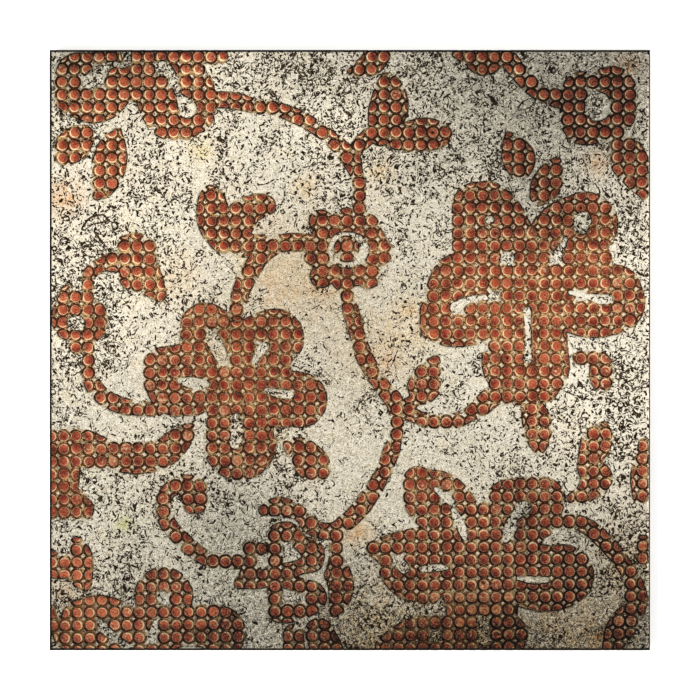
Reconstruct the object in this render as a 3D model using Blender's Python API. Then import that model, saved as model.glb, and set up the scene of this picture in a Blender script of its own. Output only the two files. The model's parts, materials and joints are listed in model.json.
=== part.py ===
"""Carved stone tile: one square slab of travertine lying on its back, face up.

The face carries a vine with five-petalled flowers, leaves and rings. Every part of the plant is a
shallow field sunk into the face, and the dots that fill the fields are fine relief, left to the finished
surface. The slab is a bevelled box, and the fields are one cutter: the outline of the strokes below,
filled, extruded and taken from the box.

Frame: metres, +Z up, origin at the middle of the back face. The face looks along +Z, and the top of the
plant is at +Y.
"""

import bmesh
import bpy
import numpy as np

MM = 0.001

# Driving dimensions, in millimetres.
TILE = 400.0
THICK = 12.0
ARRIS = 0.7
FIELD_DEPTH = 1.0
RIM = 1.3

# The outline of the fields is found on a square grid, and then thinned to the points it needs.
CELL = 2.0
REACH = 208.0
SLACK = 0.2
CLEAR = 0.05
SMALLEST = 6.0
FAR = 9.0
STEPS = 6
HEADROOM = 3.0

STONE_COLOUR = (0.66, 0.59, 0.48, 1.0)
STONE_ROUGHNESS = 0.62

# Strokes of the carved fields, in millimetres from the middle of the tile. A stroke is a line of points
# (x, y, half width), drawn as one smooth band. A single point is a disc, and a stroke that ends where it
# starts is a ring.
FIELDS = {
    "corner flower": [
        [(-183, 172, 15.5), (-182, 184, 13.5), (-172, 175, 23), (-164, 178, 21)],
        [(-160, 182, 14), (-140, 184, 19), (-128, 176, 14)],
        [(-140, 202, 14), (-134, 172, 10), (-124, 160, 15), (-120, 152, 12), (-109, 151.5, 11)],
        [(-128, 198, 8), (-110, 190, 9.5), (-104, 180, 11), (-101, 168, 12), (-103, 157, 12.5)],
        [(-116, 198, 8), (-100, 196, 6), (-86, 196, 5)],
    ],
    "corner leaves": [
        [(-178, 142, 8), (-184, 137, 11), (-189, 131, 8)],
        [(-155, 144, 3.5), (-158, 135, 9), (-160, 125, 11.5), (-163, 113, 9.5), (-168, 104, 4)],
    ],
    "top vine": [
        [(-92, 167, 5.5), (-76, 166, 5.5), (-60, 162, 4.5), (-50, 161, 4.5), (-36, 156, 5),
         (-24, 149.5, 4.7), (-10, 138.5, 5), (0, 128, 6.5), (4, 119, 4.7), (6.3, 109, 4.3), (6.3, 90, 4.3)],
        [(-1, 126, 4.5), (5, 135, 5), (12, 142, 5.5)],
        [(20, 142, 6), (24, 155, 12), (26.5, 165, 12.5), (26, 176, 8), (24, 182, 3)],
        [(14, 143, 5), (24, 143, 5.5), (34, 141.5, 8.5), (48, 143.5, 11.3), (58, 143.5, 9), (65, 144, 3.5)],
        [(1, 185.5, 2.5), (8, 187.5, 6), (16, 193, 8.5), (20, 203, 9)],
    ],
    "corner vine": [
        [(70, 197, 2), (80, 195, 5.5), (89, 191, 8.3), (98, 195, 7)],
        [(98, 199, 6), (106, 193, 6.3), (111, 187, 5.7), (118, 179, 5.7), (127, 171.5, 5.5),
         (137, 168, 6), (146, 166, 6)],
        [(178, 144, 5), (179.5, 137, 8), (185, 128, 12.5), (190, 118, 10), (194.5, 108, 5.5),
         (195.5, 103, 2.5)],
        [(105.5, 144, 2), (109, 137, 7), (112.5, 128, 11), (113.5, 122.5, 8.5)],
        [(137.5, 125, 3.5), (135, 119, 7.5), (131, 110.5, 10), (126.5, 103, 6.5)],
    ],
    "ring flower": [
        [(152.5, 173, 11), (152.5, 149, 10.5), (168, 150, 11), (178, 158, 12.5), (176, 175, 13.5),
         (163, 174, 10.5), (152.5, 173, 11)],
    ],
    "great flower": [
        [(84.5, 96, 16), (92, 96, 16), (98, 86, 19), (105, 66, 22)],
        [(83, 92, 14.5), (83, 64, 14.5)],
        [(157, 84, 21.5), (143, 79, 20), (128, 64, 17)],
        [(145, 60, 20), (163, 60, 12)],
        [(135, 38, 21), (160, 30, 21.5), (177, 30, 18.5), (175, 36, 21)],
        [(119, 8, 26), (117.5, -7, 29.5)],
        [(107, -25, 12), (128, -23, 12)],
        [(56, 15, 9), (62, 20, 15), (72, 21, 19), (95, 26, 19)],
        [(62, 39, 11.5), (74, 46, 19), (95, 52, 22)],
        [(59, 25, 12), (63, 40, 12)],
        [(110, 40, 26), (130, 50, 26)],
        [(120, -34, 6), (124, -46, 9.5), (125.5, -56, 8.7), (126, -64, 5), (126, -69, 2)],
    ],
    "low vine": [
        [(96, -30, 7), (89, -36, 6.5), (81, -42, 5), (72, -46.5, 4.8), (62, -47.5, 4.3), (52, -47, 4.5),
         (44, -44, 4.5), (35, -40, 5)],
        [(-1.5, 44, 4.5), (-1.5, 36, 4.3), (0.5, 27, 5.2), (3, 18, 5.3), (5.5, 9, 5), (8, 0, 5.5),
         (12, -9, 5.5), (16.5, -17, 5), (24, -27, 5.5), (30, -35, 6), (31.5, -46, 4.5), (30.5, -58, 4.5),
         (27.5, -68, 5.5), (23.5, -79, 4.8), (17, -91, 5.7), (8, -104.5, 5.7), (-2, -114.5, 5.7),
         (-10, -120, 5.5), (-18, -120.5, 5.5), (-26, -117, 5.8), (-33, -109, 5), (-42, -105, 6.3),
         (-50, -104.5, 6), (-57, -106.5, 3.7)],
        [(57, -6.5, 3), (53.5, -14, 7.5), (50, -23, 11), (48, -28, 8.3)],
        [(45, -32, 4), (36, -39, 5)],
        [(-9, -122, 4.5), (-9, -136, 4.5), (-7.5, -148, 8), (-6, -158, 8.5), (-7, -167, 6.5),
         (-10, -174, 3.5)],
        [(-12, -150, 5), (-7, -152, 6)],
    ],
    "eye flower": [
        [(-21.3, 67, 6.5), (-16, 80, 6.5), (-3, 85.5, 6.5), (12, 81, 6.5), (19.5, 67, 6.3), (12, 52.5, 6.5),
         (-3, 48.5, 6.3), (-16, 54, 6.5), (-21.3, 67, 6.5)],
        [(-19, 85.5, 8)],
        [(-2, 88.5, 6.5)],
        [(12, 83, 7.5)],
        [(21, 65.5, 8)],
        [(12, 48.5, 7.5)],
        [(-5, 46.5, 7)],
        [(-18.5, 49.5, 8)],
        [(-24, 63, 6.5)],
        [(-2.2, 67.8, 8.2), (-2.2, 67, 8.2)],
    ],
    "side vine": [
        [(-22, 70, 6), (-34, 72, 6), (-46, 71, 6), (-56, 66, 6), (-62, 59, 6), (-67, 51, 6), (-71, 43, 6),
         (-73.5, 35, 5.5), (-75, 24, 5)],
        [(-93, 106, 4), (-92, 98, 9.5), (-90, 86, 11.5), (-84, 76, 11)],
        [(-76, 84, 12), (-68, 93, 9.5), (-58, 96.5, 7.5), (-54, 95.5, 5)],
        [(-80, 75, 9.5), (-68, 70, 8), (-56, 70, 6)],
    ],
    "heart flower": [
        [(-96, 14, 17.5), (-98, 9, 15.5)],
        [(-124, -12, 14), (-112, -12, 16), (-100, -10, 16)],
        [(-125, -20, 12.8), (-119, -31, 12), (-104, -31, 12.5)],
        [(-50, 8, 19.5), (-60, 6, 18)],
        [(-52, -10, 13)],
        [(-33.5, -33, 18.5), (-50, -32, 19)],
        [(-75, -45, 20), (-73.5, -62, 24.5)],
        [(-75, 0, 20), (-75, -25, 26)],
        [(-128, -39.5, 4.5), (-142, -38.5, 5), (-150, -37.5, 5.5), (-158, -34.5, 5.5), (-166, -29.5, 5.5),
         (-171.5, -22, 5.5), (-174, -13, 4.5), (-174, -4, 3.8), (-173.5, 4, 3.2)],
        [(-40, -63, 4.5), (-32, -68, 9.5), (-25, -76, 11.5), (-22, -79, 8.5)],
    ],
    "left ring": [
        [(-182, 22, 17), (-178, 20, 17)],
        [(-188, 39, 4.5), (-188, 32, 8)],
        [(-182, 4, 6), (-180, 9, 7)],
        [(-174.5, 34, 4), (-174.5, 44, 3.5), (-172.5, 52, 4.5), (-165, 57, 5), (-156, 59, 7), (-148, 62, 9)],
        [(-149, 70, 6.5), (-141, 65, 12.5), (-140, 53, 13), (-133, 45, 9), (-127, 37.5, 5)],
        [(-146, 48, 7.5)],
    ],
    "left branch": [
        [(-205, -64, 12.5), (-180, -65, 13), (-160, -70, 9.5), (-142, -72, 10.5), (-125, -69, 9.5),
         (-114, -60, 8.5), (-107, -53, 4.5)],
        [(-195, -80, 15.5), (-194, -95, 13)],
        [(-202, -106, 7), (-190, -101, 11.5), (-178, -106, 7.5)],
        [(-182, -128, 4), (-180, -138, 8.5), (-180, -148, 9), (-176, -157, 3.5)],
        [(-202, -138, 6.5), (-196, -144, 8), (-186, -145, 7)],
    ],
    "bottom flower": [
        [(-124, -164, 19.5), (-124, -178, 18)],
        [(-110, -187, 16), (-93, -187, 18), (-88, -188.5, 18.5)],
        [(-179, -179, 13), (-165, -180, 16.5), (-148, -186, 15)],
        [(-186, -188, 12), (-172, -194, 12)],
        [(-202, -175, 6), (-200, -184, 6)],
        [(-135, -195, 14), (-124, -190, 12)],
    ],
    "tendril": [
        [(-102, -103, 6), (-100, -95, 6.5), (-106, -90, 7), (-114, -90, 6), (-121.5, -95, 5.2),
         (-124.5, -104, 4.9), (-122.5, -112.5, 5.5), (-117, -121, 5.3), (-108.5, -129.5, 5.2),
         (-100, -136, 5.2), (-92, -140, 5), (-83, -140.8, 4.8), (-70, -141, 5)],
        [(-108, -98, 4.5), (-106, -105, 4)],
    ],
    "twin ring": [
        [(-66.5, -131, 5), (-66, -142, 6), (-66, -151, 8)],
        [(-59.5, -132.5, 4.2)],
        [(-73, -155, 4), (-62, -153, 6), (-50, -151, 6)],
        [(-50, -148, 6), (-50, -136, 5), (-49, -124, 6.5), (-41, -121, 6.5), (-34, -127, 5.5),
         (-25, -134, 7.5), (-25, -141, 7)],
        [(-25, -141, 6.5), (-34, -145, 5), (-46, -149, 6.5)],
        [(-46, -152, 6), (-34, -156.5, 5), (-24, -161, 6.5), (-22, -167, 6), (-30, -173, 5.5),
         (-42, -174.5, 7.5), (-49, -172, 7), (-50, -160, 5), (-49, -152, 6)],
    ],
    "bottom leaves": [
        [(-37.5, -189, 6.5), (-37, -203, 7.5)],
        [(-20.5, -188, 9.3), (-15.5, -199, 10.7)],
    ],
    "rose flower": [
        [(45, -87, 9.5), (46, -102, 9.5), (54, -112, 9)],
        [(45, -87, 8), (60, -97, 16), (66, -108, 19.5)],
        [(104, -98, 11.5), (118, -98, 13.5), (130, -98, 13), (134, -104, 8.5)],
        [(98, -112, 15), (125, -112, 14)],
        [(16, -132, 5), (28, -134, 11), (40, -135, 15.5), (60, -140, 24)],
        [(27, -146, 8), (38, -151, 14), (50, -154, 15.5)],
        [(86, -130, 26), (90, -150, 26)],
        [(112, -127, 6), (124, -127, 4.5)],
        [(118, -148, 20), (132, -152, 22), (142, -150, 20.5)],
        [(112, -164, 7), (126, -163, 11.5)],
        [(86, -160, 24), (88, -172, 24)],
        [(24, -197, 7), (45, -193, 15), (70, -192, 15), (104, -190, 14.5)],
    ],
    "right vine": [
        [(134, -114.5, 5), (152, -115, 5), (161, -119.5, 5.3), (170, -127.5, 5.7), (178.5, -137.5, 5.3),
         (185.5, -147.5, 5.5), (189, -157, 7), (190.5, -167, 8.5)],
        [(190, -173, 7), (182, -183, 9.5), (177, -192, 8), (173, -203, 5)],
        [(153, -5, 4.5), (162, -6, 5.5), (167, -9, 7.5), (168, -18, 8), (168, -25, 4)],
        [(169, -52, 4), (165, -60, 10), (161, -70, 8.5), (159, -79, 7), (165, -85, 10), (157, -95, 6.5),
         (149, -98.5, 4)],
        [(196, -62, 3.5), (195, -73, 5), (193.5, -84, 6.5), (194, -97, 5.5)],
        [(195.5, -127, 4), (195.5, -138, 4.5)],
        [(110, -77.5, 2.5)],
    ],
}

# Islands of plain stone left standing inside the fields: the flowers' hearts and the lines on their petals.
BARE = {
    "corner flower": [
        [(-150, 202, 4), (-149, 191, 2.5), (-160, 190, 2.2), (-168, 183, 5.5), (-172, 179, 5.5)],
        [(-125, 188, 5), (-119, 184, 3), (-116.5, 176, 2), (-113.5, 169, 2.2), (-108, 161, 6.5)],
    ],
    "ring flower": [[(165, 164, 8.5), (165, 161, 8.5)]],
    "great flower": [
        [(155, 86, 6), (154, 82, 5)],
        [(147, 38.5, 1.5), (158, 36, 2), (166, 34, 3.3), (172, 34, 3.5)],
        [(71, 28.5, 4.3), (78, 33, 2.8), (90, 35, 2), (97, 36, 2)],
        [(105, 61, 5)],
        [(137, 61, 4.2), (142, 70, 2.2), (143, 74, 2)],
        [(118.2, 26, 2.9), (118.8, 10, 2.1), (118.5, -6, 2.8)],
        [(93, 87, 3)],
    ],
    "heart flower": [
        [(-93, 11, 3.2), (-90, 5, 5), (-86, -3, 4.5), (-84, -8, 3)],
        [(-113, -20, 2), (-104, -22, 4), (-96, -22.5, 2.5)],
        [(-55, -27, 2.2), (-47, -29, 3.2), (-40, -29.5, 3)],
        [(-75.5, -45, 3), (-75, -54, 4.3), (-76, -62, 4)],
        [(-56, 3, 3), (-60.5, -2, 3.2), (-63.5, -8, 2)],
    ],
    "left ring": [[(-183.5, 18.5, 5), (-181, 18, 5)]],
    "bottom flower": [
        [(-125, -164, 4), (-122, -169, 2)],
        [(-166, -183, 3.5), (-161, -188, 3), (-154, -193, 2), (-147, -200, 3.5)],
        [(-129, -180, 1.5), (-131, -188, 3), (-132.5, -193, 3)],
        [(-112, -201, 3.5), (-100, -201, 3.5)],
    ],
    "rose flower": [
        [(57.5, -92.5, 1.4), (62, -96, 2.6), (67, -100.5, 2.6), (69.5, -103, 1.5)],
        [(69, -106.5, 1.8), (71.5, -112, 3.2), (75, -119, 3.2), (76.5, -125, 1.8)],
        [(104, -126, 2.5), (107, -119, 4.5), (109, -112, 3), (116, -105, 4.7)],
        [(32, -140.5, 3.3), (36, -145, 3.8)],
        [(48, -146, 2), (58, -145, 2.5), (65, -145, 1.3)],
        [(110, -151.5, 1), (120, -153, 2.5), (131, -153, 2)],
        [(57, -191, 4)],
        [(88, -180, 3.5), (90, -193, 4)],
    ],
}


def smooth(points):
    """The stroke's points joined by Catmull-Rom curves, STEPS to a span; two points stay a straight line."""
    p = np.array(points, float)
    if len(p) == 1:
        return np.vstack([p, p])
    if len(p) == 2:
        return p
    if np.allclose(p[0], p[-1]):
        ends = np.vstack([p[-2], p, p[1]])
    else:
        ends = np.vstack([2 * p[0] - p[1], p, 2 * p[-1] - p[-2]])
    t = np.linspace(0, 1, STEPS, endpoint=False)[:, None]
    spans = []
    for a, b, c, d in zip(ends[:-3], ends[1:-2], ends[2:-1], ends[3:]):
        bend = (2 * a - 5 * b + 4 * c - d) * t**2 + (3 * b - a - 3 * c + d) * t**3
        spans.append(0.5 * (2 * b + (c - a) * t + bend))
    return np.vstack(spans + [p[-1:]])


def distance_to(groups, xs, ys):
    """Distance on the grid xs by ys to the union of the groups' strokes, negative inside, at most FAR.

    Each short piece of a stroke is a band whose half width runs evenly from one end to the other: the
    distance to its centre line, less the half width there. Only the grid points within FAR of a band are
    worked out.
    """
    nearest = np.full((len(ys), len(xs)), FAR)
    strokes = [smooth(stroke) for group in groups.values() for stroke in group]
    for line in strokes:
        for (ax, ay, ar), (bx, by, br) in zip(line[:-1], line[1:]):
            margin = max(ar, br) + FAR
            i0, i1 = np.searchsorted(xs, [min(ax, bx) - margin, max(ax, bx) + margin])
            j0, j1 = np.searchsorted(ys, [min(ay, by) - margin, max(ay, by) + margin])
            x, y = np.meshgrid(xs[i0:i1], ys[j0:j1])
            dx, dy = bx - ax, by - ay
            t = np.clip(((x - ax) * dx + (y - ay) * dy) / max(dx * dx + dy * dy, 1e-9), 0, 1)
            band = np.hypot(x - ax - t * dx, y - ay - t * dy) - (ar + (br - ar) * t)
            nearest[j0:j1, i0:i1] = np.minimum(nearest[j0:j1, i0:i1], band)
    return nearest


def field_grid():
    """The grid lines, and the distance to the fields: the strokes, less the bare islands and the right rim.

    A point within CLEAR of the outline counts as just outside it, so two outlines never meet in a point.
    """
    lines = np.arange(-REACH, REACH + CELL / 2, CELL)
    distance = np.maximum(distance_to(FIELDS, lines, lines), -distance_to(BARE, lines, lines))
    distance = np.maximum(distance, lines[None, :] - (TILE / 2 - RIM))
    distance[np.abs(distance) < CLEAR] = CLEAR
    distance[[0, -1], :] = FAR
    distance[:, [0, -1]] = FAR
    return lines, distance


def outlines(lines, distance):
    """Closed lines where the distance is nought, with the field on their left, found cell by cell."""
    corners = ((0, 0), (1, 0), (1, 1), (0, 1))
    place = {}
    onward = {}
    for j in range(len(lines) - 1):
        for i in range(len(lines) - 1):
            values = [distance[j + v, i + u] for u, v in corners]
            if (min(values) >= 0) == (max(values) >= 0):
                continue
            leaving, entering = [], []
            for k in range(4):
                here, there = values[k], values[(k + 1) % 4]
                if (here < 0) == (there < 0):
                    continue
                (u, v), (p, q) = corners[k], corners[(k + 1) % 4]
                key = (2 * i + u + p, 2 * j + v + q)
                t = here / (here - there)
                place[key] = (lines[i] + CELL * (u + (p - u) * t), lines[j] + CELL * (v + (q - v) * t))
                (leaving if here < 0 else entering).append((k, key))
            for k, key in leaving:
                onward[key] = min(entering, key=lambda crossing: (crossing[0] - k) % 4)[1]
    loops = []
    while onward:
        start = min(onward)
        loop = [start]
        following = onward.pop(start)
        while following != start:
            loop.append(following)
            following = onward.pop(following)
        loops.append(np.array([place[key] for key in loop]))
    return loops


def thinned(points):
    """An open line without the points that lie within SLACK of the straight line between those kept."""
    start, along = points[0], points[-1] - points[0]
    off = points[1:-1] - start
    length = max(np.hypot(*along), 1e-9)
    t = np.clip(off @ along / length**2, 0, 1)
    gap = np.hypot(*(off - t[:, None] * along).T)
    if len(gap) == 0 or gap.max() < SLACK:
        return points[[0, -1]]
    k = int(gap.argmax()) + 1
    return np.vstack([thinned(points[: k + 1])[:-1], thinned(points[k:])])


def thinned_loop(loop):
    """A closed line thinned in two halves, split at the point furthest from its first."""
    far = int(np.hypot(*(loop - loop[0]).T).argmax())
    return np.vstack([thinned(loop[: far + 1])[:-1], thinned(np.vstack([loop[far:], loop[:1]]))[:-1]])


def stone_material():
    material = bpy.data.materials.new("travertine")
    material.use_nodes = True
    shader = material.node_tree.nodes["Principled BSDF"]
    shader.inputs["Base Color"].default_value = STONE_COLOUR
    shader.inputs["Roughness"].default_value = STONE_ROUGHNESS
    shader.inputs["Metallic"].default_value = 0.0
    material.diffuse_color = STONE_COLOUR
    return material


def add_object(name, bm):
    mesh = bpy.data.meshes.new(name)
    bm.to_mesh(mesh)
    bm.free()
    obj = bpy.data.objects.new(name, mesh)
    bpy.context.scene.collection.objects.link(obj)
    return obj


def enclosed(loop):
    """The area inside a closed line, in square millimetres, by the shoelace rule."""
    onward = np.roll(loop, -1, 0)
    return abs((loop[:, 0] * onward[:, 1] - loop[:, 1] * onward[:, 0]).sum()) / 2


def slab():
    """A square box on its back, with the arris ground off its four upper edges."""
    bm = bmesh.new()
    bmesh.ops.create_cube(bm, size=1.0)
    bmesh.ops.scale(bm, vec=(TILE * MM, TILE * MM, THICK * MM), verts=bm.verts)
    bmesh.ops.translate(bm, vec=(0, 0, THICK * MM / 2), verts=bm.verts)
    upper = [edge for edge in bm.edges if all(vert.co.z > THICK * MM / 2 for vert in edge.verts)]
    bmesh.ops.bevel(bm, geom=upper, offset=ARRIS * MM, segments=1, profile=0.5, affect="EDGES")
    obj = add_object("stone_slab", bm)
    obj.data.materials.append(stone_material())
    return obj


def field_cutter():
    """The plant's outline as a flat-bottomed block, from the floor of the fields to above the face."""
    bm = bmesh.new()
    top = (THICK + HEADROOM) * MM
    for loop in outlines(*field_grid()):
        if enclosed(loop) < SMALLEST:
            continue
        verts = [bm.verts.new((x * MM, y * MM, top)) for x, y in thinned_loop(loop)]
        for here, following in zip(verts, verts[1:] + verts[:1]):
            bm.edges.new((here, following))
    bmesh.ops.triangle_fill(bm, use_beauty=True, edges=bm.edges[:], normal=(0, 0, 1))
    grown = bmesh.ops.extrude_face_region(bm, geom=bm.faces[:])
    lower = [item for item in grown["geom"] if isinstance(item, bmesh.types.BMVert)]
    bmesh.ops.translate(bm, vec=(0, 0, -(HEADROOM + FIELD_DEPTH) * MM), verts=lower)
    bmesh.ops.recalc_face_normals(bm, faces=bm.faces[:])
    obj = add_object("field_cutter", bm)
    obj.hide_render = True
    obj.display_type = "WIRE"
    return obj


def main():
    for obj in list(bpy.data.objects):
        bpy.data.objects.remove(obj, do_unlink=True)
    stone = slab()
    carve = stone.modifiers.new("carved fields", "BOOLEAN")
    carve.operation = "DIFFERENCE"
    carve.solver = "EXACT"
    carve.object = field_cutter()


main()
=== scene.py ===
"""Looks of the carved stone tile: its carved and painted face, and its sawn sides and back.

The face is one height map over the whole tile, cut into PATCHES by PATCHES pieces that share their border
points. The plant is a set of strokes, and their distance field is the outline of the carved fields. A square
setting-out of dots runs across the tile. A dot that lies in a field stands up out of a dark cut, with paint
on its top. Lengths are in millimetres until a mesh is made.
"""

import json
from types import SimpleNamespace
import bpy  # noqa: E402
import numpy as np  # noqa: E402
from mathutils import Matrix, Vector  # noqa: E402


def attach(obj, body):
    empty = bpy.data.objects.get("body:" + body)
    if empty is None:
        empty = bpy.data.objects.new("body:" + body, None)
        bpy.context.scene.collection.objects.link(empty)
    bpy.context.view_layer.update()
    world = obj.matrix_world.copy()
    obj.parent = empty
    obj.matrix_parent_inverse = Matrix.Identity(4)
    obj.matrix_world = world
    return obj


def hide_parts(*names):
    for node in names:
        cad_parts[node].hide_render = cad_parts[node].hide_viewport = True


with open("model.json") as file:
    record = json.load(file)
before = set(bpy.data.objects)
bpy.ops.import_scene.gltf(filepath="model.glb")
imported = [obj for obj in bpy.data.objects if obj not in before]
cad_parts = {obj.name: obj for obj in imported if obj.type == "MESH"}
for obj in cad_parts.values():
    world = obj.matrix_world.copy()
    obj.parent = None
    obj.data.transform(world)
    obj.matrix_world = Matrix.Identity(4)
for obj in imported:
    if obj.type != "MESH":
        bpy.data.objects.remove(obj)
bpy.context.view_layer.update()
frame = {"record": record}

MM = 0.001

# Sizes, in millimetres. The tile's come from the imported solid.
TILE = frame["record"]["size"]["bbox_m"][0] / MM
THICK = frame["record"]["size"]["bbox_m"][2] / MM
ARRIS = 0.7
RIM = 1.3  # plain stone kept along the right edge
PITCH = (8.207, 8.387)  # from dot to dot, across and up
FIRST_DOT = (-1.42, 2.3)
DOT_RADIUS = 3.26
DOT_VARIES = 0.3
DOT_KEPT = 1.6  # how far outside a field the middle of a dot may lie
CUT_WIDTH = 1.4
WALL = 0.65  # from a field's outline to the dots it cuts off
CUT_DEPTH = 0.9
SHOULDER = 0.3  # how much a dot falls off towards its rim
STAR_DROP = 0.1
HEADROOM = 0.12
PAINT_SLIP = 0.65  # how far the paint sits off a dot's middle at the tile's edge
SLIP_VARIES = 0.8
PAINT_INSET = 0.25
VOID_DEPTH = 0.9
VOIDS_TRIED = 1100
WEAR_DEPTH = 0.35
FAR = 6.0  # distances are worked out no further than this
STEPS = 6
RANDOM_CELLS = 64  # the tables of random numbers are squares of this many

# Meshes: the face is PATCHES by PATCHES squares of PATCH_CELLS by PATCH_CELLS quads.
PATCHES = 3
PATCH_CELLS = 226
BACK_CELLS = 24
SIDE_ROWS = 7
COLUMN_NAMES = ("left", "middle", "right")
ROW_NAMES = ("lower", "centre", "upper")
# The maps that the face's meshes carry to its material, three to an attribute.
MAPS_CARRIED = {
    "relief": ("cut", "field", "edge"),
    "paint": ("paint", "wear", "tone"),
    "stone": ("pitting", "hollow", "light"),
    "age": ("faded", "paled", "shade"),
}
BAKE_MARGIN = 0.004
BACK_SHARE = 0.85
STRIP_START = 0.89
STRIP_SHARE = 0.08

# Studio. The floor is in metres; LIGHT is how bright a white surface looks, with 1 as a screen's white.
VIEW_WIDTH = 466.1
VIEW_MIDDLE = (0.12, 0.1)
LENS = 100.0
SENSOR = 36.0
FLOOR = 8.0
FLOOR_GAP = 0.0002
LIGHT = 1.45
# Painted shade with dirt: how much darker the face is painted towards the bottom, and again along its foot.
DOWNWARD_DARKENING = 0.42
FOOT_DARKENING = 0.26
SKY = 0.85
KEY_POWER = 46.0
FILL_POWER = 18.0
SHEEN = 0.08

# Colours as they look on a screen, 0 to 255. The floor's are above that, so that it comes out plain white.
CREAM = (232, 214, 184)
PALE = (222, 210, 184)
HONEY = (230, 208, 160)
ASH = (194, 186, 168)
OLIVE = (214, 208, 180)
# Pale flecks of the stone, and painted highlights round the pits and where the face is painted lighter than
# even.
PALE_FLECK_AND_HIGHLIGHT = (255, 248, 228)
DULL = (156, 138, 106)
SHADE = (100, 82, 56)
# Pit colours: dirt in the voids, and painted shade darkest in their deep middles.
PIT_BROWN = (92, 66, 30)
PIT_DARK = (26, 16, 5)
STAR = (255, 232, 190)
WASH_BROWN = (24, 9, 2)
WASH_OLIVE = (84, 46, 14)
WASH_RED = (104, 34, 12)
WASH_LIGHT = (232, 192, 130)
WASH_GOLD = (156, 92, 42)
RED = (132, 32, 22)
ORANGE = (148, 55, 29)
CRIMSON = (154, 40, 30)
BRIGHT = (196, 98, 62)
DUSTY = (224, 144, 104)
RED_SHADE = (86, 26, 12)
SHOULDER_CREAM = (255, 226, 180)
SHOULDER_TAN = (216, 150, 106)
SHOULDER_BROWN = (104, 50, 24)
# Near-black painted shade along the tile's arris.
EDGE_DARK = (14, 9, 5)
BLACK = (0, 0, 0)
FLOOR_WHITE = (296, 296, 296)
FLOOR_SHADE = (293, 293, 293)

# Stains: a tint, and the soft round spots where it lies, as (x, y, radius, strength) in millimetres.
STAINS = {
    "rust": ((250, 200, 150), [
        (-190, 102, 14, 0.6), (165, 125, 9, 0.5), (185, 190, 10, 0.5), (2, -122, 10, 0.4),
    ]),
    "ochre": ((255, 226, 176), [
        (20, 118, 10, 0.5), (-30, 108, 9, 0.5), (-15, 45, 9, 0.4), (40, 27, 9, 0.4), (8, -121, 12, 0.4),
    ]),
    "yellow": ((255, 246, 200), [(-100, 133, 9, 0.6), (-70, 60, 10, 0.3)]),
    "pink": ((255, 226, 208), [
        (25, -8, 10, 0.5), (-60, 90, 14, 0.3), (-20, 40, 14, 0.4), (-50, 40, 16, 0.3),
    ]),
    "moss": ((236, 246, 190), [(-150, -115, 7, 0.6)]),
    "brown": ((200, 168, 128), [(165, -190, 9, 0.6), (-190, -160, 9, 0.5)]),
    "warm": ((255, 243, 226), [
        (-35, 48, 40, 1), (-85, 5, 28, 0.8), (20, 0, 35, 0.8), (-60, -50, 24, 0.8), (45, 20, 20, 0.5),
        (-118, 50, 18, 0.7), (-185, -185, 24, 0.8),
    ]),
    "umber": ((250, 228, 196), [
        (20, -200, 55, 0.9), (85, -195, 32, 0.9), (150, -200, 60, 0.8), (185, -140, 30, 0.4),
    ]),
}
# Where the stone has more small voids, and where it has fewer (below 0).
PITTED = [
    (-188, 60, 40, 0.4), (-188, 150, 25, 0.65), (-170, 15, 30, 0.75), (-183, -14, 14, 0.5),
    (-150, 183, 14, 0.5), (-90, 18, 16, 0.4), (-68, -52, 20, 0.6), (-180, -85, 20, 0.5),
    (-110, -90, 25, 0.2), (-170, -175, 35, 0.5), (-40, 185, 60, 0.35), (-135, 185, 34, 1),
    (-185, 150, 14, 0.3), (-183, 85, 16, 0.3), (-83, 16, 14, 1), (-60, -50, 18, 0.5),
    (-116, -48, 12, 0.4), (60, 185, 60, 0.2), (95, 130, 26, 0.45), (55, 115, 22, 0.3), (0, 115, 30, 0.2),
    (185, 70, 40, 0.4), (150, 85, 20, 0.5), (190, -120, 16, 0.3), (-16, -150, 16, -0.4),
    (180, -20, 35, 0.3), (175, -60, 40, 0.35), (150, -185, 30, 0.3), (50, -185, 45, 0.45),
    (190, -145, 30, 0.8), (-190, -160, 24, 0.4), (183, 83, 16, 0.3), (116, -75, 14, 0.1),
    (-190, 116, 12, 0.3), (-140, 112, 28, 0.35), (118, -100, 18, 0.3), (48, -83, 14, 0.4),
    (-83, -14, 14, -0.9), (-150, -20, 18, -0.45), (-157, -50, 16, -0.4), (0, 30, 60, -0.3),
    (30, -70, 55, -0.35), (-80, -145, 30, -0.4), (-158, 155, 12, -0.3), (-180, 118, 12, -0.4),
    (0, -120, 25, -0.3), (115, -180, 14, -0.4), (-55, 50, 22, -0.3), (-60, 150, 60, -0.15),
    (165, -183, 40, -0.4), (172, -155, 12, 0.7), (150, -150, 24, -0.5), (116, -183, 20, -0.4),
    (150, 45, 18, -0.8), (150, -16, 20, -0.25), (-70, -83, 24, -0.3),
]
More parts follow.
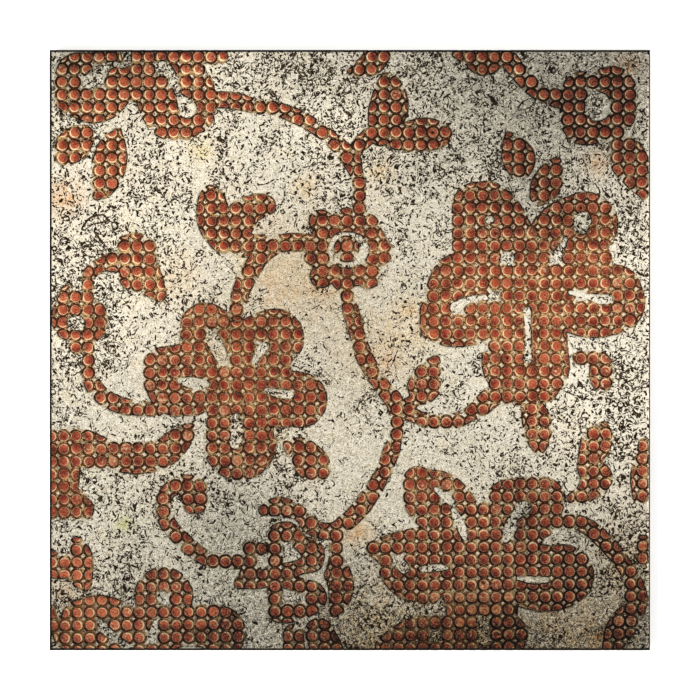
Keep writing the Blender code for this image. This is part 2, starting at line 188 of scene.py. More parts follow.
# How dark the face is painted, as the exponent of a decay: painted shade of the light falling off across the
# face, with dirt. Below 0 it is lighter.
SHADE_AND_DIRT_SPOTS = [
    (-185, 195, 30, 0.6), (-140, 195, 32, 0.5), (-20, 205, 60, 0.3), (65, 198, 60, 0.35),
    (150, 190, 100, 0.85), (188, 190, 28, 0.35), (90, 150, 28, -0.2), (115, 160, 55, 0.3),
    (120, 98, 32, 0.25), (60, 120, 60, 0.2), (-25, 50, 80, 0.35), (10, -5, 55, 0.12), (-85, 15, 25, 0.15),
    (-100, -25, 40, 0.15), (-75, -120, 45, 0.5), (-150, -150, 45, 0.1), (0, -150, 34, 0.35),
    (112, -110, 24, 0.15), (165, -145, 40, 0.45), (183, 140, 20, 0.2), (120, 85, 25, 0.15),
    (-16, 150, 25, -0.25), (150, 83, 18, 0.15), (160, 45, 25, -0.25), (165, -25, 40, -0.12),
    (116, -112, 18, 0.15), (-83, -183, 20, 0.2), (-16, -183, 20, 0.2), (-49, -16, 16, 0.16),
    (195, -30, 90, -0.28), (185, 45, 25, -0.15), (-175, -150, 35, -0.1), (-183, -85, 20, -0.07),
    (-183, -185, 20, -0.08), (183, -45, 30, -0.04), (83, 112, 16, -0.12), (-150, 150, 16, 0.06),
    (16, 116, 14, -0.07), (83, -116, 16, -0.1), (118, -114, 14, 0.1), (150, 49, 14, -0.12),
    (-150, -20, 16, 0.07), (-116, -50, 14, 0.08), (-190, 20, 45, -0.15), (190, -15, 50, -0.1),
    (183, 60, 30, -0.1), (116, 83, 14, -0.15), (83, 116, 14, -0.1), (112, 183, 16, -0.1),
    (183, -150, 16, -0.2), (-183, -160, 26, -0.2), (116, -116, 16, 0.16), (150, -116, 14, 0.08),
    (49, 49, 16, 0.12), (116, 116, 14, 0.1), (-83, -83, 14, 0.1), (83, -116, 12, -0.08),
    (-116, 185, 14, -0.15), (105, 183, 20, -0.08), (150, 83, 14, 0.06),
    (-178, -200, 42, 0.55), (-72, -200, 45, 0.55), (-5, -200, 36, 0.75), (45, -200, 32, 0.75),
    (88, -200, 36, 1.4), (128, -200, 34, 1), (188, -200, 38, 1.1),
]
# Where the wash in the cuts is faded to gold, and where it is darker (below 0).
FADED = [
    (-110, 35, 55, 0.3), (-70, -15, 45, 0.45), (30, 40, 60, 0.4), (115, 20, 55, 0.4), (170, 65, 40, 0.35),
    (-183, -190, 40, 0.6), (65, -188, 28, 0.7), (-50, -85, 18, 0.5), (50, -83, 22, 0.5),
    (-185, -85, 30, 0.3), (150, 170, 70, -0.45), (0, 165, 60, -0.3), (-190, 192, 20, -0.5),
    (165, -140, 50, -0.4), (-60, -120, 40, -0.3), (-50, -185, 18, -0.5), (150, -185, 25, -0.4),
]
# Where the paint on the dots is paler, and where it is darker (below 0).
PALED = [
    (-165, -188, 42, 1.3), (-170, -150, 26, 1.3), (-150, 165, 60, 0.85), (-100, 60, 60, 0.2),
    (-183, 40, 30, 0.5), (-10, -180, 20, -0.4), (150, 50, 80, -0.15), (-20, -110, 60, -0.25),
    (-150, -30, 28, -0.25), (-150, -83, 18, -0.25), (-66, -83, 26, -0.6), (183, 60, 30, -0.2),
    (83, -83, 16, -0.35), (150, -120, 60, -0.12), (-83, -30, 60, -0.1), (120, 187, 40, 1),
    (165, -100, 40, -0.4), (70, -145, 70, -0.4), (-100, -168, 24, 1.1), (25, 140, 40, 0.25),
    (160, -40, 40, -0.3), (150, 90, 40, -0.2), (-190, 60, 40, 0.2), (190, -8, 24, -1.2),
    (150, -15, 18, -0.4), (183, 83, 18, -0.9), (183, 50, 14, -0.3), (183, -100, 25, -0.5),
    (116, -83, 22, -0.9), (80, -135, 30, -0.6), (-83, 83, 16, -1.3), (16, 83, 18, -0.4),
    (130, 50, 30, -0.4), (-150, -17, 20, -0.5), (-170, -70, 30, -0.5), (-50, -83, 18, -0.7),
    (-20, -50, 25, -0.15), (-150, 17, 12, 0.3),
]
# Where the paint is worn off.
WORN = [
    (-150, -185, 50, 0.25), (85, -175, 26, 0.65), (-112, -40, 24, 0.3), (-160, -70, 16, 0.35),
    (-125, -156, 12, 0.5), (182, -182, 9, 0.7), (170, -13, 5, 0.3), (170, -22, 5, 0.35),
    (-70, -60, 26, 0.3),
]
# Larger voids and flaws, as strokes like the fields' below.
VOIDS = [
    [(94, 168.3, 1.3), (97, 164.8, 1.6)], [(95.5, 181, 0.7), (96, 178, 0.8)], [(55, 145, 1)],
    [(105, -5, 1)], [(97, 78, 1)], [(154, 95, 1)], [(89, -155, 1.2)], [(98, -183, 1.2)],
]
CRACKS = {
    "wedge": [
        [(-178.4, 81, 0.5), (-175, 86, 0.5), (-171, 89, 0.6), (-164, 90, 0.6), (-161.5, 86, 0.5),
         (-166, 85, 0.4), (-171, 84, 0.4), (-176, 80.5, 0.4), (-178.4, 81, 0.5)],
        [(-170.6, 79.5, 0.5), (-164.6, 71.5, 0.6)], [(-167.6, 80, 0.4), (-163.4, 75.7, 0.4)],
        [(-158.5, 84, 0.5), (-156, 85.5, 0.5), (-154.5, 82, 0.5), (-157, 80.5, 0.5), (-158.5, 84, 0.5)],
    ],
    "scratches": [
        [(-61, 110, 0.35), (-55, 111, 0.3), (-50, 114, 0.35)], [(-43, 111, 0.3), (-43.5, 103, 0.3)],
        [(-115, 45, 0.2), (-104, 54, 0.25), (-95, 65, 0.15)], [(-30, 25, 0.2), (-20, 30, 0.2)],
        [(-22, -13, 0.25), (-13, -21, 0.25)], [(-20, -11, 0.2), (-11, -19, 0.2)],
        [(-38, -10, 0.35), (-28, -14, 0.3)], [(-50, 118, 0.15), (-30, 122, 0.2), (-10, 124, 0.15)],
    ],
    "right cracks": [
        [(142, -27, 0.3), (150, -30, 0.35), (156, -32, 0.4), (160, -33, 0.3)],
        [(152, -31, 0.2), (147, -39, 0.2), (130, -44, 0.15)], [(181, -23.5, 0.2), (193, -17, 0.25)],
    ],
    "rings": [
        [(-77.5, 190, 0.3), (-75, 192.5, 0.3), (-72.5, 190, 0.3), (-75, 187.5, 0.3), (-77.5, 190, 0.3)],
        [(-79, 176, 0.3), (-76, 178, 0.3), (-73, 176, 0.3), (-76, 173.5, 0.3)],
        [(105, 175, 0.3), (108, 178, 0.3), (111, 175, 0.3), (108, 172.5, 0.3)],
        [(112, 160, 0.3), (116, 166, 0.3), (124, 168, 0.3), (120, 162, 0.3), (112, 160, 0.3)],
        [(18, -17, 0.2), (26, -13, 0.25), (32, 0, 0.2)],
    ],
}

# Strokes of the carved fields, in millimetres from the middle of the tile. A stroke is a line of points
# (x, y, half width), drawn as one smooth band. A single point is a disc, and a stroke that ends where it
# starts is a ring.
FIELDS = {
    "corner flower": [
        [(-183, 172, 15.5), (-182, 184, 13.5), (-172, 175, 23), (-164, 178, 21)],
        [(-160, 182, 14), (-140, 184, 19), (-128, 176, 14)],
        [(-140, 202, 14), (-134, 172, 10), (-124, 160, 15), (-120, 152, 12), (-109, 151.5, 11)],
        [(-128, 198, 8), (-110, 190, 9.5), (-104, 180, 11), (-101, 168, 12), (-103, 157, 12.5)],
        [(-116, 198, 8), (-100, 196, 6), (-86, 196, 5)],
    ],
    "corner leaves": [
        [(-178, 142, 8), (-184, 137, 11), (-189, 131, 8)],
        [(-155, 144, 3.5), (-158, 135, 9), (-160, 125, 11.5), (-163, 113, 9.5), (-168, 104, 4)],
    ],
    "top vine": [
        [(-92, 167, 5.5), (-76, 166, 5.5), (-60, 162, 4.5), (-50, 161, 4.5), (-36, 156, 5),
         (-24, 149.5, 4.7), (-10, 138.5, 5), (0, 128, 6.5), (4, 119, 4.7), (6.3, 109, 4.3), (6.3, 90, 4.3)],
        [(-1, 126, 4.5), (5, 135, 5), (12, 142, 5.5)],
        [(20, 142, 6), (24, 155, 12), (26.5, 165, 12.5), (26, 176, 8), (24, 182, 3)],
        [(14, 143, 5), (24, 143, 5.5), (34, 141.5, 8.5), (48, 143.5, 11.3), (58, 143.5, 9), (65, 144, 3.5)],
        [(1, 185.5, 2.5), (8, 187.5, 6), (16, 193, 8.5), (20, 203, 9)],
    ],
    "corner vine": [
        [(70, 197, 2), (80, 195, 5.5), (89, 191, 8.3), (98, 195, 7)],
        [(98, 199, 6), (106, 193, 6.3), (111, 187, 5.7), (118, 179, 5.7), (127, 171.5, 5.5), (137, 168, 6),
         (146, 166, 6)],
        [(178, 144, 5), (179.5, 137, 8), (185, 128, 12.5), (190, 118, 10), (194.5, 108, 5.5),
         (195.5, 103, 2.5)], [(105.5, 144, 2), (109, 137, 7), (112.5, 128, 11), (113.5, 122.5, 8.5)],
        [(137.5, 125, 3.5), (135, 119, 7.5), (131, 110.5, 10), (126.5, 103, 6.5)],
    ],
    "ring flower": [
        [(152.5, 173, 11), (152.5, 149, 10.5), (168, 150, 11), (178, 158, 12.5), (176, 175, 13.5),
         (163, 174, 10.5), (152.5, 173, 11)],
    ],
    "great flower": [
        [(84.5, 96, 16), (92, 96, 16), (98, 86, 19), (105, 66, 22)], [(83, 92, 14.5), (83, 64, 14.5)],
        [(157, 84, 21.5), (143, 79, 20), (128, 64, 17)], [(145, 60, 20), (163, 60, 12)],
        [(135, 38, 21), (160, 30, 21.5), (177, 30, 18.5), (175, 36, 21)], [(119, 8, 26), (117.5, -7, 29.5)],
        [(107, -25, 12), (128, -23, 12)], [(56, 15, 9), (62, 20, 15), (72, 21, 19), (95, 26, 19)],
        [(62, 39, 11.5), (74, 46, 19), (95, 52, 22)], [(59, 25, 12), (63, 40, 12)],
        [(110, 40, 26), (130, 50, 26)],
        [(120, -34, 6), (124, -46, 9.5), (125.5, -56, 8.7), (126, -64, 5), (126, -69, 2)],
    ],
    "low vine": [
        [(96, -30, 7), (89, -36, 6.5), (81, -42, 5), (72, -46.5, 4.8), (62, -47.5, 4.3), (52, -47, 4.5),
         (44, -44, 4.5), (35, -40, 5)],
        [(-1.5, 44, 4.5), (-1.5, 36, 4.3), (0.5, 27, 5.2), (3, 18, 5.3), (5.5, 9, 5), (8, 0, 5.5),
         (12, -9, 5.5), (16.5, -17, 5), (24, -27, 5.5), (30, -35, 6), (31.5, -46, 4.5), (30.5, -58, 4.5),
         (27.5, -68, 5.5), (23.5, -79, 4.8), (17, -91, 5.7), (8, -104.5, 5.7), (-2, -114.5, 5.7),
         (-10, -120, 5.5), (-18, -120.5, 5.5), (-26, -117, 5.8), (-33, -109, 5), (-42, -105, 6.3),
         (-50, -104.5, 6), (-57, -106.5, 3.7)],
        [(57, -6.5, 3), (53.5, -14, 7.5), (50, -23, 11), (48, -28, 8.3)], [(45, -32, 4), (36, -39, 5)],
        [(-9, -122, 4.5), (-9, -136, 4.5), (-7.5, -148, 8), (-6, -158, 8.5), (-7, -167, 6.5),
         (-10, -174, 3.5)], [(-12, -150, 5), (-7, -152, 6)],
    ],
    "eye flower": [
        [(-21.3, 67, 6.5), (-16, 80, 6.5), (-3, 85.5, 6.5), (12, 81, 6.5), (19.5, 67, 6.3), (12, 52.5, 6.5),
         (-3, 48.5, 6.3), (-16, 54, 6.5), (-21.3, 67, 6.5)], [(-19, 85.5, 8)], [(-2, 88.5, 6.5)],
        [(12, 83, 7.5)], [(21, 65.5, 8)], [(12, 48.5, 7.5)], [(-5, 46.5, 7)], [(-18.5, 49.5, 8)],
        [(-24, 63, 6.5)], [(-2.2, 67.8, 8.2), (-2.2, 67, 8.2)],
    ],
    "side vine": [
        [(-22, 70, 6), (-34, 72, 6), (-46, 71, 6), (-56, 66, 6), (-62, 59, 6), (-67, 51, 6), (-71, 43, 6),
         (-73.5, 35, 5.5), (-75, 24, 5)], [(-93, 106, 4), (-92, 98, 9.5), (-90, 86, 11.5), (-84, 76, 11)],
        [(-76, 84, 12), (-68, 93, 9.5), (-58, 96.5, 7.5), (-54, 95.5, 5)],
        [(-80, 75, 9.5), (-68, 70, 8), (-56, 70, 6)],
    ],
    "heart flower": [
        [(-96, 14, 17.5), (-98, 9, 15.5)], [(-124, -12, 14), (-112, -12, 16), (-100, -10, 16)],
        [(-125, -20, 12.8), (-119, -31, 12), (-104, -31, 12.5)], [(-50, 8, 19.5), (-60, 6, 18)],
        [(-52, -10, 13)], [(-33.5, -33, 18.5), (-50, -32, 19)], [(-75, -45, 20), (-73.5, -62, 24.5)],
        [(-75, 0, 20), (-75, -25, 26)],
        [(-128, -39.5, 4.5), (-142, -38.5, 5), (-150, -37.5, 5.5), (-158, -34.5, 5.5), (-166, -29.5, 5.5),
         (-171.5, -22, 5.5), (-174, -13, 4.5), (-174, -4, 3.8), (-173.5, 4, 3.2)],
        [(-40, -63, 4.5), (-32, -68, 9.5), (-25, -76, 11.5), (-22, -79, 8.5)],
    ],
    "left ring": [
        [(-182, 22, 17), (-178, 20, 17)], [(-188, 39, 4.5), (-188, 32, 8)], [(-182, 4, 6), (-180, 9, 7)],
        [(-174.5, 34, 4), (-174.5, 44, 3.5), (-172.5, 52, 4.5), (-165, 57, 5), (-156, 59, 7),
         (-148, 62, 9)],
        [(-149, 70, 6.5), (-141, 65, 12.5), (-140, 53, 13), (-133, 45, 9), (-127, 37.5, 5)],
        [(-146, 48, 7.5)],
    ],
    "left branch": [
        [(-205, -64, 12.5), (-180, -65, 13), (-160, -70, 9.5), (-142, -72, 10.5), (-125, -69, 9.5),
         (-114, -60, 8.5), (-107, -53, 4.5)], [(-195, -80, 15.5), (-194, -95, 13)],
        [(-202, -106, 7), (-190, -101, 11.5), (-178, -106, 7.5)],
        [(-182, -128, 4), (-180, -138, 8.5), (-180, -148, 9), (-176, -157, 3.5)],
        [(-202, -138, 6.5), (-196, -144, 8), (-186, -145, 7)],
    ],
    "bottom flower": [
        [(-124, -164, 19.5), (-124, -178, 18)], [(-110, -187, 16), (-93, -187, 18), (-88, -188.5, 18.5)],
        [(-179, -179, 13), (-165, -180, 16.5), (-148, -186, 15)], [(-186, -188, 12), (-172, -194, 12)],
        [(-202, -175, 6), (-200, -184, 6)], [(-135, -195, 14), (-124, -190, 12)],
    ],
    "tendril": [
        [(-102, -103, 6), (-100, -95, 6.5), (-106, -90, 7), (-114, -90, 6), (-121.5, -95, 5.2),
         (-124.5, -104, 4.9), (-122.5, -112.5, 5.5), (-117, -121, 5.3), (-108.5, -129.5, 5.2),
         (-100, -136, 5.2), (-92, -140, 5), (-83, -140.8, 4.8), (-70, -141, 5)],
        [(-108, -98, 4.5), (-106, -105, 4)],
    ],
    "twin ring": [
        [(-66.5, -131, 5), (-66, -142, 6), (-66, -151, 8)], [(-59.5, -132.5, 4.2)],
        [(-73, -155, 4), (-62, -153, 6), (-50, -151, 6)],
        [(-50, -148, 6), (-50, -136, 5), (-49, -124, 6.5), (-41, -121, 6.5), (-34, -127, 5.5),
         (-25, -134, 7.5), (-25, -141, 7)], [(-25, -141, 6.5), (-34, -145, 5), (-46, -149, 6.5)],
        [(-46, -152, 6), (-34, -156.5, 5), (-24, -161, 6.5), (-22, -167, 6), (-30, -173, 5.5),
         (-42, -174.5, 7.5), (-49, -172, 7), (-50, -160, 5), (-49, -152, 6)],
    ],
    "bottom leaves": [[(-37.5, -189, 6.5), (-37, -203, 7.5)], [(-20.5, -188, 9.3), (-15.5, -199, 10.7)]],
    "rose flower": [
        [(45, -87, 9.5), (46, -102, 9.5), (54, -112, 9)], [(45, -87, 8), (60, -97, 16), (66, -108, 19.5)],
        [(104, -98, 11.5), (118, -98, 13.5), (130, -98, 13), (134, -104, 8.5)],
        [(98, -112, 15), (125, -112, 14)],
        [(16, -132, 5), (28, -134, 11), (40, -135, 15.5), (60, -140, 24)],
        [(27, -146, 8), (38, -151, 14), (50, -154, 15.5)], [(86, -130, 26), (90, -150, 26)],
        [(112, -127, 6), (124, -127, 4.5)], [(118, -148, 20), (132, -152, 22), (142, -150, 20.5)],
        [(112, -164, 7), (126, -163, 11.5)], [(86, -160, 24), (88, -172, 24)],
        [(24, -197, 7), (45, -193, 15), (70, -192, 15), (104, -190, 14.5)],
    ],
    "right vine": [
        [(134, -114.5, 5), (152, -115, 5), (161, -119.5, 5.3), (170, -127.5, 5.7), (178.5, -137.5, 5.3),
         (185.5, -147.5, 5.5), (189, -157, 7), (190.5, -167, 8.5)],
        [(190, -173, 7), (182, -183, 9.5), (177, -192, 8), (173, -203, 5)],
        [(153, -5, 4.5), (162, -6, 5.5), (167, -9, 7.5), (168, -18, 8), (168, -25, 4)],
        [(169, -52, 4), (165, -60, 10), (161, -70, 8.5), (159, -79, 7), (165, -85, 10), (157, -95, 6.5),
         (149, -98.5, 4)], [(196, -62, 3.5), (195, -73, 5), (193.5, -84, 6.5), (194, -97, 5.5)],
        [(195.5, -127, 4), (195.5, -138, 4.5)], [(110, -77.5, 2.5)],
    ],
}

# Islands of plain stone left standing inside the fields: the flowers' hearts and the lines on their petals.
BARE = {
    "corner flower": [
        [(-150, 202, 4), (-149, 191, 2.5), (-160, 190, 2.2), (-168, 183, 5.5), (-172, 179, 5.5)],
        [(-125, 188, 5), (-119, 184, 3), (-116.5, 176, 2), (-113.5, 169, 2.2), (-108, 161, 6.5)],
    ],
    "ring flower": [[(165, 164, 8.5), (165, 161, 8.5)]],
    "great flower": [
        [(155, 86, 6), (154, 82, 5)], [(147, 38.5, 1.5), (158, 36, 2), (166, 34, 3.3), (172, 34, 3.5)],
        [(71, 28.5, 4.3), (78, 33, 2.8), (90, 35, 2), (97, 36, 2)], [(105, 61, 5)],
        [(137, 61, 4.2), (142, 70, 2.2), (143, 74, 2)],
        [(118.2, 26, 2.9), (118.8, 10, 2.1), (118.5, -6, 2.8)], [(93, 87, 3)],
    ],
    "heart flower": [
        [(-93, 11, 3.2), (-90, 5, 5), (-86, -3, 4.5), (-84, -8, 3)],
        [(-113, -20, 2), (-104, -22, 4), (-96, -22.5, 2.5)],
        [(-55, -27, 2.2), (-47, -29, 3.2), (-40, -29.5, 3)],
        [(-75.5, -45, 3), (-75, -54, 4.3), (-76, -62, 4)], [(-56, 3, 3), (-60.5, -2, 3.2), (-63.5, -8, 2)],
    ],
    "left ring": [[(-183.5, 18.5, 5), (-181, 18, 5)]],
    "bottom flower": [
        [(-125, -164, 4), (-122, -169, 2)],
        [(-166, -183, 3.5), (-161, -188, 3), (-154, -193, 2), (-147, -200, 3.5)],
        [(-129, -180, 1.5), (-131, -188, 3), (-132.5, -193, 3)], [(-112, -201, 3.5), (-100, -201, 3.5)],
    ],
    "rose flower": [
        [(57.5, -92.5, 1.4), (62, -96, 2.6), (67, -100.5, 2.6), (69.5, -103, 1.5)],
        [(69, -106.5, 1.8), (71.5, -112, 3.2), (75, -119, 3.2), (76.5, -125, 1.8)],
        [(104, -126, 2.5), (107, -119, 4.5), (109, -112, 3), (116, -105, 4.7)],
        [(32, -140.5, 3.3), (36, -145, 3.8)], [(48, -146, 2), (58, -145, 2.5), (65, -145, 1.3)],
        [(110, -151.5, 1), (120, -153, 2.5), (131, -153, 2)], [(57, -191, 4)],
        [(88, -180, 3.5), (90, -193, 4)],
    ],
}

# ---- Numbers over the tile ----


def smooth(points):
    """The stroke's points joined by Catmull-Rom curves, STEPS to a span; two points stay a straight line."""
    p = np.array(points, float)
    if len(p) == 1:
        return np.vstack([p, p])
    if len(p) == 2:
        return p
    if np.allclose(p[0], p[-1]):
        ends = np.vstack([p[-2], p, p[1]])
    else:
        ends = np.vstack([2 * p[0] - p[1], p, 2 * p[-1] - p[-2]])
    t = np.linspace(0, 1, STEPS, endpoint=False)[:, None]
    spans = []
    for a, b, c, d in zip(ends[:-3], ends[1:-2], ends[2:-1], ends[3:]):
        bend = (2 * a - 5 * b + 4 * c - d) * t**2 + (3 * b - a - 3 * c + d) * t**3
        spans.append(0.5 * (2 * b + (c - a) * t + bend))
    return np.vstack(spans + [p[-1:]])


def distance_to(strokes, lines, far=FAR):
    """Distance on the square grid of lines to the strokes, negative inside them, and far at the most.

    Each short piece of a stroke is a band whose half width runs evenly from one end to the other: the
    distance to its centre line, less the half width there. Only the grid points near a band are worked out.
    """
    nearest = np.full((len(lines), len(lines)), far)
    for stroke in strokes:
        line = smooth(stroke)
        for (ax, ay, ar), (bx, by, br) in zip(line[:-1], line[1:]):
            margin = max(ar, br) + far
            i0, i1 = np.searchsorted(lines, [min(ax, bx) - margin, max(ax, bx) + margin])
            j0, j1 = np.searchsorted(lines, [min(ay, by) - margin, max(ay, by) + margin])
            x, y = np.meshgrid(lines[i0:i1], lines[j0:j1])
            dx, dy = bx - ax, by - ay
            t = np.clip(((x - ax) * dx + (y - ay) * dy) / max(dx * dx + dy * dy, 1e-9), 0, 1)
            band = np.hypot(x - ax - t * dx, y - ay - t * dy) - (ar + (br - ar) * t)
            nearest[j0:j1, i0:i1] = np.minimum(nearest[j0:j1, i0:i1], band)
    return nearest


def ramp(value, low, high):
    """0 at low, 1 at high, and between them 3t^2 - 2t^3 of the share t of the way; high may be the lower."""
    t = np.clip((value - low) / (high - low), 0, 1)
    return t * t * (3 - 2 * t)


def clouds(x, y, size, seed):
    """Soft noise from -1 to 1: random numbers on a grid of the given size, joined by S-shaped runs."""
    table = np.random.default_rng(seed).uniform(-1, 1, (RANDOM_CELLS, RANDOM_CELLS))
    middle = (RANDOM_CELLS - 1) / 2
    u, v = x / size + middle, y / size + middle
    i, j = np.floor(u).astype(int), np.floor(v).astype(int)
    fu, fv = ramp(u - i, 0, 1), ramp(v - j, 0, 1)
    i, j = i % (RANDOM_CELLS - 1), j % (RANDOM_CELLS - 1)
    low = table[j, i] * (1 - fu) + table[j, i + 1] * fu
    high = table[j + 1, i] * (1 - fu) + table[j + 1, i + 1] * fu
    return low * (1 - fv) + high * fv


def spread(x, y, spots):
    """The sum of soft round spots, each its strength times e^(-1.5 d^2) at d radii from its middle."""
    total = np.zeros_like(x)
    for sx, sy, radius, strength in spots:
        total += strength * np.exp(-1.5 * ((x - sx) ** 2 + (y - sy) ** 2) / radius**2)
    return total


def setting_out(x, y):
    """Column and row numbers of the dots at each point, whole at a dot's middle.

    The dots stand in even columns and rows, bent a little: the columns lean and bow, and the rows fan out.
    """
    u, v = 2 * x / TILE, 2 * y / TILE
    sideways = -0.94 * v + 0.32 * u * v - 0.76 * u * u + 0.23 * v * v
    upwards = 0.81 * u - 0.13 * v - 0.85 * u * v + 0.28 * v * v
    return (x - FIRST_DOT[0] - sideways) / PITCH[0], (y - FIRST_DOT[1] - upwards) / PITCH[1]


def sampled(values, lines, x, y):
    """The values at the grid points nearest to x, y."""
    step = lines[1] - lines[0]
    i = np.clip(np.rint((x - lines[0]) / step).astype(int), 0, len(lines) - 1)
    j = np.clip(np.rint((y - lines[0]) / step).astype(int), 0, len(lines) - 1)
    return values[j, i]


def nearest_dots(x, y, lines, field):
    """Distance to the nearest dot that is cut, offset from its middle, its radius and its random numbers.

    A place in the setting-out is left uncut where its middle is over DOT_KEPT outside the field. Each point
    tries its own place and the eight around it.
    """
    column, row = setting_out(x, y)
    own_column, own_row = np.rint(column).astype(int), np.rint(row).astype(int)
    tables = np.random.default_rng(3).uniform(0, 1, (6, RANDOM_CELLS, RANDOM_CELLS))
    best = [np.full(x.shape, start) for start in (FAR, FAR, FAR, DOT_RADIUS, 0, 0, 0, 0, 0, 0)]
    for step_row in (-1, 0, 1):
        for step_column in (-1, 0, 1):
            i, j = own_column + step_column, own_row + step_row
            dx, dy = (column - i) * PITCH[0], (row - j) * PITCH[1]
            chances = tables[:, j % RANDOM_CELLS, i % RANDOM_CELLS]
            radius = DOT_RADIUS + DOT_VARIES * (chances[0] - 0.5)
            distance = np.hypot(dx, dy) - radius
            closer = (sampled(field, lines, x - dx, y - dy) < DOT_KEPT) & (distance < best[0])
            tried = (distance, dx, dy, radius, *chances)
            best = [np.where(closer, new, old) for new, old in zip(tried, best)]
    return best


def scattered_voids(x, y, open_stone, pitting):
    """Short thick strokes at random places: the larger natural voids, more where the stone is pitted.

    Each is a line of random length and turn about a random grid point, thicker at one end. It is left out
    within 1.5 of a dot, and where its random number is above the pitting there.
    """
    rng = np.random.default_rng(11)
    strokes = []
    count = len(x)
    for _ in range(VOIDS_TRIED):
        j, i = rng.integers(0, count, 2)
        keep, turn = rng.uniform(0, 1), rng.uniform(0, np.pi)
        size, stretch = rng.uniform(0.3, 0.75) ** 2 * 1.3, rng.uniform(0.1, 1.0)
        if open_stone[j, i] < 1.5 or keep > pitting[j, i]:
            continue
        cx, cy = x[j, i], y[j, i]
        dx, dy = stretch * np.cos(turn), stretch * np.sin(turn)
        strokes.append([(cx - dx, cy - dy, size * 0.6), (cx + dx, cy + dy, size)])
    return strokes


def face_maps():
    """Every map of the face: a dictionary of arrays with a row for each y and a column for each x.

    The field is inside the strokes and outside the bare islands, and cut is the distance to a dot in it. The
    height is the top, less each depth times how far a point is inside what is cut there.
    """
    lines = np.linspace(-TILE / 2, TILE / 2, PATCHES * PATCH_CELLS + 1)
    x, y = np.meshgrid(lines, lines)
    wobble = 0.25 * clouds(x, y, 5.0, 1) + 0.2 * clouds(x, y, 1.7, 2)

    # The outline of the fields, a little uneven, and kept off the right edge.
    fields = distance_to(sum(FIELDS.values(), []), lines)
    bare = distance_to(sum(BARE.values(), []), lines)
    field = np.maximum(np.maximum(fields, -bare) + wobble, x - (TILE / 2 - RIM))

    # The dots, and the cuts round them.
    dot, across, along, radius, *chances = nearest_dots(x, y, lines, field)
    cut = np.maximum(dot + 0.5 * wobble, field + WALL)

    # The paint: a disc on each dot, a little off its middle, and cut off with the dot.
    u, v = 2 * x / TILE, 2 * y / TILE
    slip_x = PAINT_SLIP * (0.8 * v - 0.1 * u - 0.1) + SLIP_VARIES * (chances[1] - 0.5)
    slip_y = PAINT_SLIP * (0.6 * v - 0.2 * u) + SLIP_VARIES * (chances[2] - 0.5)
    paint = np.hypot(across - slip_x, along - slip_y) - (radius - PAINT_INSET)
    paint = np.maximum(paint, field + WALL - 0.35)
    wear = np.clip(0.05 + 0.5 * chances[3] ** 5 + spread(x, y, WORN) + 0.1 * clouds(x, y, 30.0, 7), 0, 1)

    # Natural voids and cracks, and the painted shade with dirt, darker towards the bottom and in the listed
    # spots.
    pitting = 0.5 + spread(x, y, PITTED) + 0.22 * clouds(x, y, 18.0, 8) + 0.18 * clouds(x, y, 8.0, 9)
    pitting = np.clip(pitting, 0, 1.1)
    voids = distance_to(scattered_voids(x, y, cut, pitting) + VOIDS, lines, far=2.0)
    hollow = ramp(voids + 0.35 * clouds(x, y, 0.9, 10), 0.35, -0.55)
    cracks = distance_to(sum(CRACKS.values(), []), lines, far=2.0)
    crack = ramp(cracks + 0.3 * clouds(x, y, 1.1, 12), 0.35, -0.25)
    dim = DOWNWARD_DARKENING * ramp(y, 80, -160) + FOOT_DARKENING * ramp(y, -120, -190) + spread(x, y, SHADE_AND_DIRT_SPOTS)

    # How far each point is inside the groove, the dot's shoulder and the bit of stone between four dots.
    beyond = ramp(cut, CUT_WIDTH + 0.3, CUT_WIDTH - 0.4) * ramp(field, 0.6, 0.2)
    trench = ramp(cut, -0.1, 0.4) * beyond
    shoulder = ramp(cut, -1.2, 0.1) * beyond
    star = ramp(field, CUT_WIDTH, 0.0) * (1 - beyond)

    # The height, with the arris along the edges; edge is then kept for the painted shade there, a dark line
    # narrower along the right.
    height = THICK - HEADROOM - CUT_DEPTH * trench - SHOULDER * shoulder - STAR_DROP * star
    rubbed = np.clip(wear - 0.35, 0, 1) * (0.5 + 0.5 * clouds(x, y, 1.6, 13))
    height -= WEAR_DEPTH * ramp(cut, 0.4, -0.2) * rubbed
    height -= VOID_DEPTH * np.maximum(hollow, 0.6 * crack)
    height += 0.05 * clouds(x, y, 14.0, 14) + 0.02 * clouds(x, y, 3.0, 15)
    edge = TILE / 2 - np.maximum(np.abs(x), np.abs(y))
    height = np.minimum(height, THICK - ARRIS + edge)
    edge = np.minimum(np.minimum(TILE / 2 - np.abs(y), TILE / 2 + x), 1.8 * (TILE / 2 - x))
    height = np.clip(height, 1.0, THICK)

    return {
        "lines": lines, "x": x, "y": y, "height": height, "cut": cut, "field": field, "edge": edge,
        "paint": paint, "wear": wear, "tone": chances[4], "pitting": pitting, "shade": chances[5],
        "faded": 0.5 + spread(x, y, FADED), "paled": spread(x, y, PALED),
        "hollow": np.maximum(hollow, 0.9 * crack), "light": np.exp(-dim),
    }


def stain_colours(x, y):
    """What the stone is multiplied by: white, times each tint of STAINS, and 1.4 times along the right edge
    as a painted highlight there.
    """
    colour = np.ones(x.shape + (4,))
    ragged = 1 + 0.5 * clouds(x, y, 4.0, 17) + 0.3 * clouds(x, y, 1.6, 18)
    for tint, spots in STAINS.values():
        strength = np.clip(spread(x, y, spots) * ragged, 0, 1)[..., None]
        colour[..., :3] *= 1 + (linear(tint) - 1) * strength
    # Painted highlight: the strip along the right edge, 1.4 times as light.
    colour[..., :3] *= 1 + 0.4 * ramp(x, TILE / 2 - 2.2, TILE / 2 - 1.6)[..., None]
    return colour


# ---- Meshes ----


